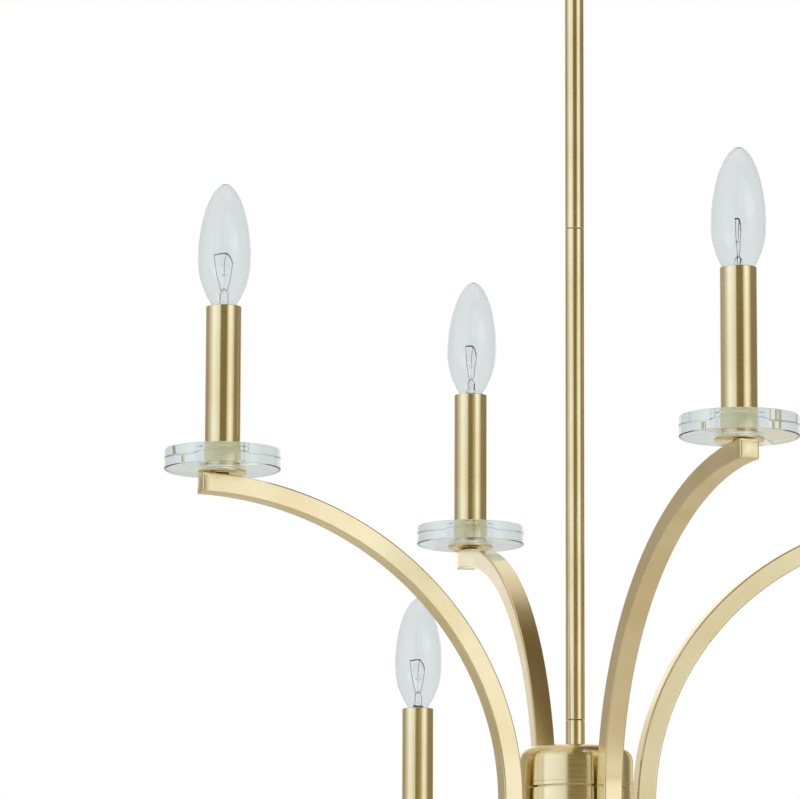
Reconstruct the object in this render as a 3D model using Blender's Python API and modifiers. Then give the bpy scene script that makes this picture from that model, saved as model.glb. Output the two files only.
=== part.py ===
"""A two-tier chandelier of eight candle lights on a rigid stem, hung from a swivel under a canopy.

Metres, +Z up. The origin is the middle of the ceiling plane, so everything hangs below z = 0.
The front is -Y. Bearings are in degrees from the front towards +X.
"""

import math

import bmesh
import bpy
from mathutils import Matrix

# Clearances
touch_gap = 0.0003  # between pieces that rest on each other
thread_gap = 0.0003  # all round a screwed or plugged spigot
pin_gap = 0.0003  # all round the swivel's pin, and beside its tongue

# Ceiling fitting
bar_length = 0.110
bar_width = 0.021
bar_thick = 0.003
bar_slot_spread = 0.070  # middle to middle of the two fixing slots
bar_slot_length = 0.016
bar_slot_width = 0.0046
canopy_radius = 0.0635
canopy_depth = 0.024
canopy_wall = 0.0012
canopy_edge_radius = 0.006
collar_radius = 0.014
collar_height = 0.009

# Swivel
stem_thread_radius = 0.00485
wire_bore_radius = 0.003
yoke_radius = 0.010
yoke_pin_drop = 0.017  # from the collar down to the pin
ear_radius = 0.009
ear_span = 0.016
tongue_thick = 0.006
tongue_radius = 0.008
pin_radius = 0.0025
knuckle_radius = 0.007
knuckle_drop = 0.011  # from the pin to the knuckle's shoulder
knuckle_length = 0.020

# Stem
rod_radius = 0.006
rod_wall = 0.001
rod_length = 0.305
rod_chamfer = 0.0004
stud_length = 0.012
neck_length = 0.017

# Hubs
hub_radius = 0.035
hub_cap_height = 0.025
hub_height = 0.085
hub_edge_radius = 0.008
hub_wall = 0.002
hub_floor = 0.003
hub_seam = 0.001
hub_seam_depth = 0.0012
spigot_height = 0.009
spigot_wall = 0.0022
spigot_web = 0.003
column_radius = 0.0125
column_spigot_radius = 0.008
column_bore_radius = 0.0065
column_spigot_length = 0.006
tier_drop = 0.2138  # from the upper hub's top to the lower hub's

# Bottom finial
finial_flange_radius = 0.020
finial_flange_thick = 0.003
finial_neck_radius = 0.005
finial_neck_drop = 0.010
finial_ball_radius = 0.010
finial_stud_length = 0.009

# Arms
arm_side = 0.012
arm_wall = 0.0012
arm_edge = 0.0008
arm_stand_off = 0.0035  # between the hub and the arm
arm_rise = 0.1824
arm_reach = {"upper": 0.200, "lower": 0.386}
arm_end_height = 0.1486  # of the arm's middle line at its end, over its hub's top
arm_foot = 0.042  # straight length under the curve
arm_stub_radius = 0.005
arm_stub_drop = 0.040  # from the hub's top to the stub
arm_stub_reach_in = 0.004  # past the hub's inner wall
# Bearing of each arm's foot, and how far the arm is set off the radial about its foot
arm_settings = {
    "upper": {
        "front": (27.6, -3.9),
        "right": (110.3, -3.4),
        "back": (205.2, -9.5),
        "left": (298.2, -5.3),
    },
    "lower": {
        "front": (27.6, -3.9),
        "right": (110.3, -3.4),
        "back": (203.0, -8.7),
        "left": (298.2, -5.3),
    },
}

# Candle lights
candle_inset = 0.014  # from the arm's end back to the candle's axis
cup_radius = 0.01475
cup_thick = 0.0016
cup_neck_radius = 0.008
cup_neck_height = 0.0003
disc_radius = 0.035
disc_thick = 0.012
disc_chamfer = 0.0008
disc_clearance = 0.0004
sleeve_radius = 0.011
sleeve_wall = 0.0008
sleeve_length = {"upper": 0.0992, "lower": 0.127}
socket_clearance = 0.0004
socket_height = 0.033
socket_drop = 0.005  # from the sleeve's rim to the socket's
base_clearance = 0.0008  # all round the bulb's screw base
socket_bore_depth = 0.024
nipple_radius = 0.004  # the threaded tube that holds a light on its arm
nipple_bore_radius = 0.0027
nipple_reach_in = 0.003  # below the arm's top wall

# Bulbs
bulb_height = 0.0743  # above the sleeve's rim
bulb_radius = 0.0162
bulb_widest = 0.0285  # above the rim
bulb_neck_radius = 0.00765
bulb_glass = 0.0008
base_radius = 0.006
base_top = -0.004
base_bottom = -0.020
base_contact_radius = 0.003
base_contact_drop = 0.0015
base_vent_radius = 0.0015

# Fineness of the round pieces
coarse_steps = 12
disc_steps = 16
fine_steps = 20
arm_steps = 10

# Levels, from the ceiling down
collar_top = -canopy_depth - touch_gap
yoke_top = collar_top - collar_height - touch_gap
pin_level = yoke_top - yoke_pin_drop
knuckle_top = pin_level - knuckle_drop
rod_upper_top = knuckle_top - knuckle_length - touch_gap
rod_lower_top = rod_upper_top - rod_length - touch_gap
neck_top = rod_lower_top - rod_length - touch_gap
hub_top = {"upper": neck_top - neck_length}
hub_top["lower"] = hub_top["upper"] - tier_drop
rod_bore_radius = rod_radius - rod_wall
stud_radius = rod_bore_radius - thread_gap
socket_bore_radius = base_radius + base_clearance
arm_start_radius = hub_radius + arm_stand_off + arm_side / 2
fixed_pieces = ("ceiling_crossbar", "canopy", "canopy_collar", "swivel_yoke")


def clear_scene():
    for obj in list(bpy.data.objects):
        bpy.data.objects.remove(obj, do_unlink=True)


def new_collection(name):
    made = bpy.data.collections.new(name)
    bpy.context.scene.collection.children.link(made)
    return made


def new_material(name, colour, metallic, roughness, alpha=1.0):
    made = bpy.data.materials.new(name)
    made.use_nodes = True
    shader = made.node_tree.nodes["Principled BSDF"]
    shader.inputs["Base Color"].default_value = (*colour, 1.0)
    shader.inputs["Metallic"].default_value = metallic
    shader.inputs["Roughness"].default_value = roughness
    shader.inputs["Alpha"].default_value = alpha
    return made


def add_object(name, mesh, material=None, place=None):
    """A part with a material joins the chandelier, and one without is a cutter."""
    obj = bpy.data.objects.new(name, mesh)
    if material:
        parts.objects.link(obj)
        if not mesh.materials:
            mesh.materials.append(material)
        mesh.shade_smooth()
        mesh.set_sharp_from_angle(angle=math.radians(35))
    else:
        cutters.objects.link(obj)
        obj.hide_render = True
        obj.display_type = "WIRE"
    if place:
        obj.matrix_world = place
    return obj


def evaluated_mesh(obj):
    graph = bpy.context.evaluated_depsgraph_get()
    mesh = bpy.data.meshes.new_from_object(obj.evaluated_get(graph))
    mesh.name = obj.name
    return mesh


def turned(name, profile, material, steps=coarse_steps, place=None):
    """Spins (radius, height) points about Z. A profile off the axis is a ring, so it is closed."""
    ring = all(radius > 0 for radius, _ in profile)
    count = len(profile)
    edges = [(i, (i + 1) % count) for i in range(count if ring else count - 1)]
    mesh = bpy.data.meshes.new(name)
    mesh.from_pydata([(radius, 0, height) for radius, height in profile], edges, [])
    obj = add_object(name, mesh, material, place)
    spin = obj.modifiers.new("Spin", "SCREW")
    spin.steps = spin.render_steps = steps
    spin.use_merge_vertices = True
    spin.merge_threshold = 0.00001
    spin.use_smooth_shade = True
    return obj


def quarter(centre, radius, start, steps, turn=-90):
    """Points of a round corner, from start degrees through turn degrees."""
    return [
        (
            centre[0] + radius * math.cos(math.radians(start + turn * i / steps)),
            centre[1] + radius * math.sin(math.radians(start + turn * i / steps)),
        )
        for i in range(steps + 1)
    ]


def add_cylinder(bm, radius, low, high, axis="Z", place=None, steps=coarse_steps):
    """A cylinder along axis, from low to high, in a bmesh that may hold others."""
    to_axis = {"Z": Matrix(), "X": Matrix.Rotation(math.radians(90), 4, "Y")}[axis]
    middle = Matrix.Translation((0, 0, (low + high) / 2))
    bmesh.ops.create_cone(
        bm,
        cap_ends=True,
        segments=steps,
        radius1=radius,
        radius2=radius,
        depth=high - low,
        matrix=(place or Matrix()) @ to_axis @ middle,
    )


def add_box(bm, size, centre):
    place = Matrix.Translation(centre) @ Matrix.Diagonal((*size, 1))
    bmesh.ops.create_cube(bm, size=1, matrix=place)


def mesh_from(bm, name):
    mesh = bpy.data.meshes.new(name)
    bm.to_mesh(mesh)
    bm.free()
    return mesh


def boolean(obj, mesh, operation):
    """Cuts or joins a closed mesh, kept as a helper among the cutters."""
    step = obj.modifiers.new(mesh.name, "BOOLEAN")
    step.operation = operation
    step.solver = "EXACT"
    step.object = add_object(f"{obj.name}_{mesh.name}", mesh)


def arm_matrix(foot_bearing, off_radial):
    """Takes an arm's own frame, with its foot's middle line on Z and +X outward, to its place."""
    to_foot = Matrix.Rotation(math.radians(foot_bearing - 90), 4, "Z")
    turn = Matrix.Rotation(math.radians(off_radial), 4, "Z")
    return to_foot @ Matrix.Translation((arm_start_radius, 0, 0)) @ turn


# Ceiling fitting


def build_crossbar():
    bm = bmesh.new()
    add_box(bm, (bar_length, bar_width, bar_thick), (0, 0, -bar_thick / 2))
    crossbar = add_object("ceiling_crossbar", mesh_from(bm, "ceiling_crossbar"), steel)
    holes = bmesh.new()
    deep = 2 * bar_thick
    add_cylinder(holes, stem_thread_radius + thread_gap, -deep, deep)
    slot_straight = bar_slot_length - bar_slot_width
    for side in (-1, 1):
        middle = side * bar_slot_spread / 2
        add_box(holes, (slot_straight, bar_slot_width, 2 * deep), (middle, 0, 0))
    boolean(crossbar, mesh_from(holes, "holes"), "DIFFERENCE")


def build_canopy():
    inner_edge = canopy_edge_radius - canopy_wall
    corner = (canopy_radius - canopy_edge_radius, canopy_edge_radius - canopy_depth)
    neck = stem_thread_radius + thread_gap
    profile = [(canopy_radius, 0)]
    profile += quarter(corner, canopy_edge_radius, 0, 4)
    profile += [(neck, -canopy_depth), (neck, canopy_wall - canopy_depth)]
    profile += quarter(corner, inner_edge, -90, 4, turn=90)
    profile += [(canopy_radius - canopy_wall, 0)]
    turned("canopy", profile, brass, fine_steps)


def build_collar():
    low = collar_top - collar_height
    bore = stem_thread_radius + thread_gap
    edge = 0.0015
    profile = [(bore, collar_top), (collar_radius, collar_top)]
    profile += [(collar_radius, low + edge), (collar_radius - edge, low), (bore, low)]
    turned("canopy_collar", profile, brass, fine_steps)


# Swivel


def build_yoke():
    bm = bmesh.new()
    add_cylinder(bm, yoke_radius, pin_level, yoke_top)
    yoke = add_object("swivel_yoke", mesh_from(bm, "swivel_yoke"), brass)
    at_pin = Matrix.Translation((0, 0, pin_level))
    half = ear_span / 2

    stem = bmesh.new()
    add_cylinder(stem, stem_thread_radius, yoke_top - 0.002, -touch_gap)
    boolean(yoke, mesh_from(stem, "stem"), "UNION")
    ears = bmesh.new()
    add_cylinder(ears, ear_radius, -half, half, "X", at_pin, fine_steps)
    boolean(yoke, mesh_from(ears, "ears"), "UNION")

    slot_width = tongue_thick + 2 * pin_gap
    slot_top = pin_level + tongue_radius + 5 * pin_gap
    slot_low = pin_level - 2 * ear_radius
    slot = bmesh.new()
    add_box(
        slot,
        (slot_width, 4 * yoke_radius, slot_top - slot_low),
        (0, 0, (slot_top + slot_low) / 2),
    )
    boolean(yoke, mesh_from(slot, "slot"), "DIFFERENCE")
    bore = bmesh.new()
    add_cylinder(bore, wire_bore_radius, slot_top - 0.002, 0.002)
    boolean(yoke, mesh_from(bore, "bore"), "DIFFERENCE")
    pin = bmesh.new()
    add_cylinder(pin, pin_radius, 0.001 - half, half - 0.001, "X", at_pin)
    boolean(yoke, mesh_from(pin, "pin"), "UNION")


def build_knuckle():
    at_pin = Matrix.Translation((0, 0, pin_level))
    low = knuckle_top - knuckle_length
    bm = bmesh.new()
    add_cylinder(bm, knuckle_radius, low, knuckle_top)
    knuckle = add_object("swivel_knuckle", mesh_from(bm, "swivel_knuckle"), brass)

    half = tongue_thick / 2
    eye = bmesh.new()
    add_cylinder(eye, tongue_radius, -half, half, "X", at_pin, fine_steps)
    boolean(knuckle, mesh_from(eye, "eye"), "UNION")
    shank = bmesh.new()
    shank_low = knuckle_top - 0.002
    add_box(
        shank,
        (tongue_thick, 1.5 * tongue_radius, pin_level - shank_low),
        (0, 0, (pin_level + shank_low) / 2),
    )
    boolean(knuckle, mesh_from(shank, "shank"), "UNION")
    holes = bmesh.new()
    add_cylinder(holes, pin_radius + pin_gap, -2 * half, 2 * half, "X", at_pin)
    socket_top = low + stud_length + 0.002
    add_cylinder(holes, stud_radius + thread_gap, low - 0.001, socket_top)
    boolean(knuckle, mesh_from(holes, "holes"), "DIFFERENCE")


# Stem


def build_rod(name, top):
    low = top - rod_length
    plug = stud_length + 0.002
    profile = [(wire_bore_radius, top + stud_length), (stud_radius, top + stud_length)]
    profile += [(stud_radius, top), (rod_radius - rod_chamfer, top)]
    profile += [(rod_radius, top - rod_chamfer), (rod_radius, low + rod_chamfer)]
    profile += [(rod_radius - rod_chamfer, low), (rod_bore_radius, low)]
    profile += [(rod_bore_radius, top - plug), (wire_bore_radius, top - plug)]
    turned(name, profile, brass)


# Hubs


def hub_shoulder(top, inset=0.0):
    """The round top edge of a hub, from its flat top to its side."""
    centre = (hub_radius - hub_edge_radius, top - hub_edge_radius)
    return quarter(centre, hub_edge_radius - inset, 90, 3)


def build_upper_cap():
    top = hub_top["upper"]
    low = top - hub_cap_height
    stud_top = neck_top + stud_length
    profile = [(wire_bore_radius, stud_top), (stud_radius, stud_top), (stud_radius, neck_top)]
    profile += [(rod_radius - rod_chamfer, neck_top), (rod_radius, neck_top - rod_chamfer)]
    profile += [(rod_radius, top)] + hub_shoulder(top) + [(hub_radius, low)]
    profile += [(hub_radius - hub_wall, low)] + hub_shoulder(top, hub_wall)[::-1]
    profile += [(wire_bore_radius, top - hub_wall)]
    turned("upper_hub_cap", profile, brass, fine_steps)


def arm_stub_holes(tier):
    at_stubs = Matrix.Translation((0, 0, hub_top[tier] - arm_stub_drop))
    bm = bmesh.new()
    low, high = (edge - arm_start_radius for edge in (hub_radius - 4 * hub_wall, hub_radius))
    for setting in arm_settings[tier].values():
        place = at_stubs @ arm_matrix(*setting)
        add_cylinder(bm, arm_stub_radius + thread_gap, low, high + hub_wall, "X", place)
    return mesh_from(bm, "arm_holes")


def build_upper_body():
    top = hub_top["upper"]
    shoulder = top - hub_cap_height - hub_seam
    low = top - hub_height
    spigot = hub_radius - hub_wall - thread_gap
    inside = spigot - spigot_wall
    web_low = shoulder - spigot_web
    hole = column_spigot_radius + thread_gap
    profile = [(inside, shoulder + spigot_height), (spigot, shoulder + spigot_height)]
    profile += [(spigot, shoulder), (hub_radius, shoulder), (hub_radius, low), (hole, low)]
    profile += [(hole, low + hub_floor), (hub_radius - hub_wall, low + hub_floor)]
    profile += [(hub_radius - hub_wall, web_low), (inside, web_low)]
    body = turned("upper_hub_body", profile, brass, fine_steps)
    boolean(body, arm_stub_holes("upper"), "DIFFERENCE")


def build_column():
    high = hub_top["upper"] - hub_height - touch_gap
    low = hub_top["lower"] + touch_gap
    spigot_top = high + hub_floor + column_spigot_length
    spigot_low = low - hub_floor - column_spigot_length
    profile = [(column_bore_radius, spigot_top), (column_spigot_radius, spigot_top)]
    profile += [(column_spigot_radius, high), (column_radius, high), (column_radius, low)]
    profile += [(column_spigot_radius, low), (column_spigot_radius, spigot_low)]
    profile += [(column_bore_radius, spigot_low)]
    turned("centre_column", profile, brass)


def build_lower_hub():
    top = hub_top["lower"]
    seam = top - hub_cap_height
    low = top - hub_height
    groove = hub_radius - hub_seam_depth
    inside = groove - hub_seam_depth
    top_hole = column_spigot_radius + thread_gap
    foot_hole = stud_radius + thread_gap
    profile = [(top_hole, top)] + hub_shoulder(top)
    profile += [(hub_radius, seam), (groove, seam)]
    profile += [(groove, seam - hub_seam), (hub_radius, seam - hub_seam)]
    profile += [(hub_radius, low), (foot_hole, low), (foot_hole, low + hub_floor)]
    profile += [(inside, low + hub_floor)] + hub_shoulder(top, hub_radius - inside)[::-1]
    profile += [(top_hole, top - (hub_radius - inside))]
    hub = turned("lower_hub", profile, brass, fine_steps)
    boolean(hub, arm_stub_holes("lower"), "DIFFERENCE")


def build_finial():
    flange = hub_top["lower"] - hub_height - touch_gap
    stud_top = flange + finial_stud_length
    low = flange - finial_flange_thick
    neck_low = low - finial_neck_drop
    ball = (0, neck_low - finial_ball_radius)
    start = 90 - math.degrees(math.asin(finial_neck_radius / finial_ball_radius))
    profile = [(0, stud_top), (stud_radius, stud_top), (stud_radius, flange)]
    profile += [(finial_flange_radius, flange), (finial_flange_radius, low)]
    profile += [(finial_neck_radius, low - finial_neck_drop / 2)]
    profile += quarter(ball, finial_ball_radius, start, 7, turn=-90 - start)[:-1]
    profile += [(0, ball[1] - finial_ball_radius)]
    turned("bottom_finial", profile, brass)


# Arms


def arm_line(reach, trim=0.0):
    """The arm's middle line in X and Z: a straight foot, then a quarter of an ellipse."""
    start = arm_end_height - arm_rise
    points = [(0, 0, start - arm_foot + trim)]
    for i in range(arm_steps + 1):
        turn = math.radians(90 * i / arm_steps)
        across = reach * (1 - math.cos(turn))
        points.append((across, 0, start + arm_rise * math.sin(turn)))
    last = points[-1]
    points[-1] = (last[0] - trim, 0, last[2])
    return points


def section_curve(name, side, edge):
    """A square outline, with small cut corners where edge isn't 0."""
    half = side / 2
    corners = []
    for x, y in ((1, 1), (-1, 1), (-1, -1), (1, -1)):
        pair = [(x * half, y * (half - edge)), (x * (half - edge), y * half)]
        pair = pair if x * y > 0 else pair[::-1]
        corners += pair if edge else pair[:1]
    return poly_curve(name, [(*corner, 0) for corner in corners], cyclic=True)


def poly_curve(name, points, cyclic=False):
    curve = bpy.data.curves.new(name, "CURVE")
    curve.dimensions = "3D"
    spline = curve.splines.new("POLY")
    spline.points.add(len(points) - 1)
    for target, point in zip(spline.points, points):
        target.co = (*point, 1)
    spline.use_cyclic_u = cyclic
    return curve


def swept_square(name, line, side, edge):
    """A closed mesh of a square bar that follows the line."""
    section = bpy.data.objects.new(name + "_section", section_curve(name, side, edge))
    curve = poly_curve(name, line)
    curve.bevel_mode = "OBJECT"
    curve.bevel_object = section
    curve.twist_mode = "MINIMUM"
    sweep = bpy.data.objects.new(name, curve)
    for obj in (section, sweep):
        cutters.objects.link(obj)
    bpy.context.view_layer.update()
    mesh = evaluated_mesh(sweep)
    for obj in (section, sweep):
        bpy.data.objects.remove(obj, do_unlink=True)
    bm = bmesh.new()
    bm.from_mesh(mesh)
    bmesh.ops.remove_doubles(bm, verts=bm.verts, dist=0.00001)
    bmesh.ops.holes_fill(bm, edges=[edge for edge in bm.edges if edge.is_boundary])
    bmesh.ops.recalc_face_normals(bm, faces=bm.faces)
    bm.to_mesh(mesh)
    bm.free()
    return mesh


def candle_reach(tier):
    return arm_reach[tier] - candle_inset


def arm_mesh(tier):
    """One hollow arm, with the stub that enters the hub and the hole for its light."""
    reach = arm_reach[tier]
    bar = add_object(tier, swept_square(tier + "_bar", arm_line(reach), arm_side, arm_edge))
    channel_side = arm_side - 2 * arm_wall
    channel = swept_square("channel", arm_line(reach, arm_wall), channel_side, 0)
    boolean(bar, channel, "DIFFERENCE")
    stub_in = hub_radius - hub_wall - arm_stub_reach_in - arm_start_radius
    at_stub = Matrix.Translation((0, 0, -arm_stub_drop))
    stub = bmesh.new()
    add_cylinder(stub, arm_stub_radius, stub_in, 0, "X", at_stub)
    boolean(bar, mesh_from(stub, "stub"), "UNION")
    ways = bmesh.new()
    add_cylinder(ways, wire_bore_radius, stub_in - 0.001, 0, "X", at_stub)
    at_candle = Matrix.Translation((candle_reach(tier), 0, 0))
    hole_top = arm_end_height + arm_side
    add_cylinder(ways, nipple_radius + thread_gap, arm_end_height, hole_top, "Z", at_candle)
    boolean(bar, mesh_from(ways, "ways"), "DIFFERENCE")
    bpy.context.view_layer.update()
    mesh = evaluated_mesh(bar)
    bpy.data.objects.remove(bar, do_unlink=True)
    return mesh


# Candle lights, drawn with the arm's top wall at height 0


def cup_profile():
    bore = nipple_radius + thread_gap
    low = cup_neck_height
    edge = cup_thick / 3
    high = low + cup_thick
    return [
        (bore, high),
        (cup_radius - edge, high),
        (cup_radius, high - edge),
        (cup_radius, low + edge),
        (cup_radius - edge, low),
        (cup_neck_radius, low),
        (cup_neck_radius, 0),
        (bore, 0),
    ]


def disc_profile():
    hole = sleeve_radius + disc_clearance
    high = disc_thick
    edge = disc_chamfer
    return [
        (hole, high),
        (disc_radius - edge, high),
        (disc_radius, high - edge),
        (disc_radius, edge),
        (disc_radius - edge, 0),
        (hole, 0),
    ]


def sleeve_profile(high):
    bore = sleeve_radius - sleeve_wall
    return [(bore, high), (sleeve_radius, high), (sleeve_radius, 0), (bore, 0)]


def socket_profile(foot):
    """The threaded nipple and the socket on it, with heights from the sleeve's rim."""
    high = -socket_drop
    low = high - socket_height
    outside = sleeve_radius - sleeve_wall - socket_clearance
    return [
        (socket_bore_radius, high),
        (outside, high),
        (outside, low),
        (nipple_radius, low),
        (nipple_radius, foot),
        (nipple_bore_radius, foot),
        (nipple_bore_radius, high - socket_bore_depth),
        (socket_bore_radius, high - socket_bore_depth),
    ]


def bulb_outline(inset):
    """A torpedo from its tip down to its neck, with heights from the sleeve's rim."""
    points = []
    for i in range(5):
        turn = math.radians(18 * i)
        radius = (bulb_radius - inset) * math.sin(turn) ** 1.1
        rise = (bulb_height - inset - bulb_widest) * math.cos(turn)
        points.append((radius, bulb_widest + rise))
    points.append((bulb_radius - inset, bulb_widest))
    for share in (0.4, 0.75, 1.0):
        fall = 1 - (1 - bulb_neck_radius / bulb_radius) * share**2.2
        points.append(((bulb_radius - inset) * fall, bulb_widest * (1 - share)))
    return points


def bulb_profile():
    """A glass shell on a screw base. A small vent in its foot keeps the inside open."""
    inner_base = base_radius - bulb_glass
    tip_low = base_bottom - base_contact_drop
    profile = bulb_outline(0.0) + [(base_radius, base_top), (base_radius, base_bottom)]
    profile += [(base_contact_radius, tip_low), (base_vent_radius, tip_low)]
    profile += [(base_vent_radius, base_bottom + bulb_glass)]
    profile += [(inner_base, base_bottom + 2 * bulb_glass), (inner_base, base_top)]
    return profile + bulb_outline(bulb_glass)[::-2]


def turned_mesh(name, profile, steps=coarse_steps):
    """The finished mesh of a turned piece, for copies to share."""
    obj = turned(name, profile, None, steps)
    bpy.context.view_layer.update()
    mesh = evaluated_mesh(obj)
    bpy.data.objects.remove(obj, do_unlink=True)
    return mesh


def build_light(name, axis, arm_top, meshes):
    """One light's pieces on its axis. Each has its foot or its rim at its own height."""
    for piece, (mesh, material, height) in meshes.items():
        place = axis @ Matrix.Translation((0, 0, arm_top + height))
        add_object(f"{name}_{piece}", mesh, material, place)


def light_meshes(tier):
    """Each piece's mesh, its material and its height over the arm's top."""
    cup_top = touch_gap + cup_neck_height + cup_thick
    seat = cup_top + touch_gap
    rim = seat + sleeve_length[tier]
    socket_foot = -rim - arm_wall - nipple_reach_in
    return {
        "cup": (cup_mesh, brass, touch_gap),
        "glass_disc": (disc_mesh, glass, seat),
        "sleeve": (
            turned_mesh(tier + "_sleeve", sleeve_profile(sleeve_length[tier])),
            brass,
            seat,
        ),
        "socket": (turned_mesh(tier + "_socket", socket_profile(socket_foot)), resin, rim),
        "bulb": (bulb_mesh, bulb_glass_material, rim),
    }


def build_tier(tier):
    top = hub_top[tier]
    arm = arm_mesh(tier)
    meshes = light_meshes(tier)
    for place_name, setting in arm_settings[tier].items():
        place = arm_matrix(*setting)
        name = f"{tier}_{place_name}"
        add_object(name + "_arm", arm, brass, Matrix.Translation((0, 0, top)) @ place)
        axis = place @ Matrix.Translation((candle_reach(tier), 0, 0))
        build_light(name, axis, top + arm_end_height + arm_side / 2, meshes)


# What moves


def hang_on_pin():
    """What tilts hangs from an empty on the pin's axis. The yoke turns about the origin's Z."""
    pin_axis = bpy.data.objects.new("tilt_axis", None)
    pin_axis.location.z = pin_level
    parts.objects.link(pin_axis)
    bpy.context.view_layer.update()
    for obj in parts.objects:
        if obj.type == "MESH" and obj.name not in fixed_pieces:
            obj.parent = pin_axis
            obj.matrix_parent_inverse = pin_axis.matrix_world.inverted()


clear_scene()
parts = new_collection("chandelier")
cutters = new_collection("cutters")
brass = new_material("brushed_brass", (0.68, 0.55, 0.33), 1.0, 0.28)
steel = new_material("zinc_plated_steel", (0.60, 0.61, 0.62), 1.0, 0.35)
glass = new_material("crystal_glass", (0.86, 0.90, 0.90), 0.0, 0.03, alpha=0.4)
bulb_glass_material = new_material("clear_bulb_glass", (0.92, 0.93, 0.92), 0.0, 0.05, alpha=0.4)
resin = new_material("black_socket_resin", (0.03, 0.03, 0.03), 0.0, 0.5)

build_crossbar()
build_canopy()
build_collar()
build_yoke()
build_knuckle()
build_rod("rod_upper", rod_upper_top)
build_rod("rod_lower", rod_lower_top)
build_upper_cap()
build_upper_body()
build_column()
build_lower_hub()
build_finial()
cup_mesh = turned_mesh("cup", cup_profile())
disc_mesh = turned_mesh("glass_disc", disc_profile(), disc_steps)
bulb_mesh = turned_mesh("bulb", bulb_profile())
build_tier("upper")
build_tier("lower")
hang_on_pin()
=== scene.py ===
import math

import bmesh
import bpy
from mathutils import Matrix, Vector


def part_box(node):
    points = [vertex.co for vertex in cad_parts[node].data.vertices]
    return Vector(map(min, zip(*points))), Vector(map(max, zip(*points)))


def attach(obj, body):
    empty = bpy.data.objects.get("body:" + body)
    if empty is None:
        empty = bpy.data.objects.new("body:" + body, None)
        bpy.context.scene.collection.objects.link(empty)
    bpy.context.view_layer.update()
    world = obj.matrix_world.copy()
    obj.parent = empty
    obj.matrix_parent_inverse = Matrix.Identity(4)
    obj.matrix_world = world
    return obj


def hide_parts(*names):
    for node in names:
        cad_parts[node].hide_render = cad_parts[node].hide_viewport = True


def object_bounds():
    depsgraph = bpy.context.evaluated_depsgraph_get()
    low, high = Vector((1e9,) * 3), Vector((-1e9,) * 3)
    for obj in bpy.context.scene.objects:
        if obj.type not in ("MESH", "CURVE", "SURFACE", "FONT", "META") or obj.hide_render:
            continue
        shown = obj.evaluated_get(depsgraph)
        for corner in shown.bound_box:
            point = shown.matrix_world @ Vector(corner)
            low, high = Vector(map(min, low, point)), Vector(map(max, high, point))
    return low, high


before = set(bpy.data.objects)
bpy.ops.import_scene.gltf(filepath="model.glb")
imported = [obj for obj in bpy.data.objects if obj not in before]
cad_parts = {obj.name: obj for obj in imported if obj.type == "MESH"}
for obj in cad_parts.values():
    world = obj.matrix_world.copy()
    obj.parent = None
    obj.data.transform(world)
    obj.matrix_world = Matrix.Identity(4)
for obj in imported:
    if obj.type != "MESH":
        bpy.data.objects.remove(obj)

print("frame loaded")
cadBox = [list(corner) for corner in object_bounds()]


# Geometry helpers. Lengths are in metres and outlines are (radius, height) points.

def mm(value):
    return value / 1000


def addPiece(name, mesh, material, body, place=None, stands=()):
    piece = bpy.data.objects.new(name, mesh)
    bpy.context.scene.collection.objects.link(piece)
    if not mesh.materials:
        mesh.materials.append(material)
    if place:
        piece.matrix_world = place
    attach(piece, body)
    if stands:
        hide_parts(*stands)
    return piece


def finishMesh(shape, name, sharp=32):
    bmesh.ops.remove_doubles(shape, verts=shape.verts, dist=1e-7)
    bmesh.ops.recalc_face_normals(shape, faces=shape.faces)
    mesh = bpy.data.meshes.new(name)
    shape.to_mesh(mesh)
    shape.free()
    mesh.shade_smooth()
    mesh.set_sharp_from_angle(angle=math.radians(sharp))
    return mesh


def softened(corners, steps=5, closed=False):
    # Rounds each (x, y, fillet) corner with a short curve between its two sides.
    points, count = [], len(corners)
    for i, (x, y, fillet) in enumerate(corners):
        here = Vector((x, y))
        if not fillet or (not closed and i in (0, count - 1)):
            points.append(tuple(here))
            continue
        before = Vector(corners[i - 1][:2]) - here
        after = Vector(corners[(i + 1) % count][:2]) - here
        reach = min(fillet, 0.49 * before.length, 0.49 * after.length)
        start, end = here + before.normalized() * reach, here + after.normalized() * reach
        for k in range(steps + 1):
            s = k / steps
            points.append(tuple(start * (1 - s) ** 2 + here * 2 * s * (1 - s) + end * s * s))
    return points


def braced(outline, closed, reach=0.00012):
    # Adds a point near each end of a long straight run, which keeps its shading flat.
    points = []
    for i, here in enumerate(outline):
        points.append(here)
        if i == len(outline) - 1 and not closed:
            break
        here, after = Vector(here), Vector(outline[(i + 1) % len(outline)])
        if (after - here).length > 6 * reach:
            step = (after - here).normalized() * reach
            points += [tuple(here + step), tuple(after - step)]
    return points


def lathe(name, outline, steps=72, closed=True, sharp=32):
    # An outline that starts and ends on the axis isn't closed by an edge of its own.
    outline = braced(outline, closed)
    shape = bmesh.new()
    verts = [shape.verts.new((radius, 0, height)) for radius, height in outline]
    pairs = list(zip(verts, verts[1:])) + ([(verts[-1], verts[0])] if closed else [])
    edges = [shape.edges.new(pair) for pair in pairs]
    bmesh.ops.spin(
        shape, geom=verts + edges, axis=(0, 0, 1), cent=(0, 0, 0),
        angle=2 * math.pi, steps=steps, use_merge=True,
    )
    return finishMesh(shape, name, sharp)


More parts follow.
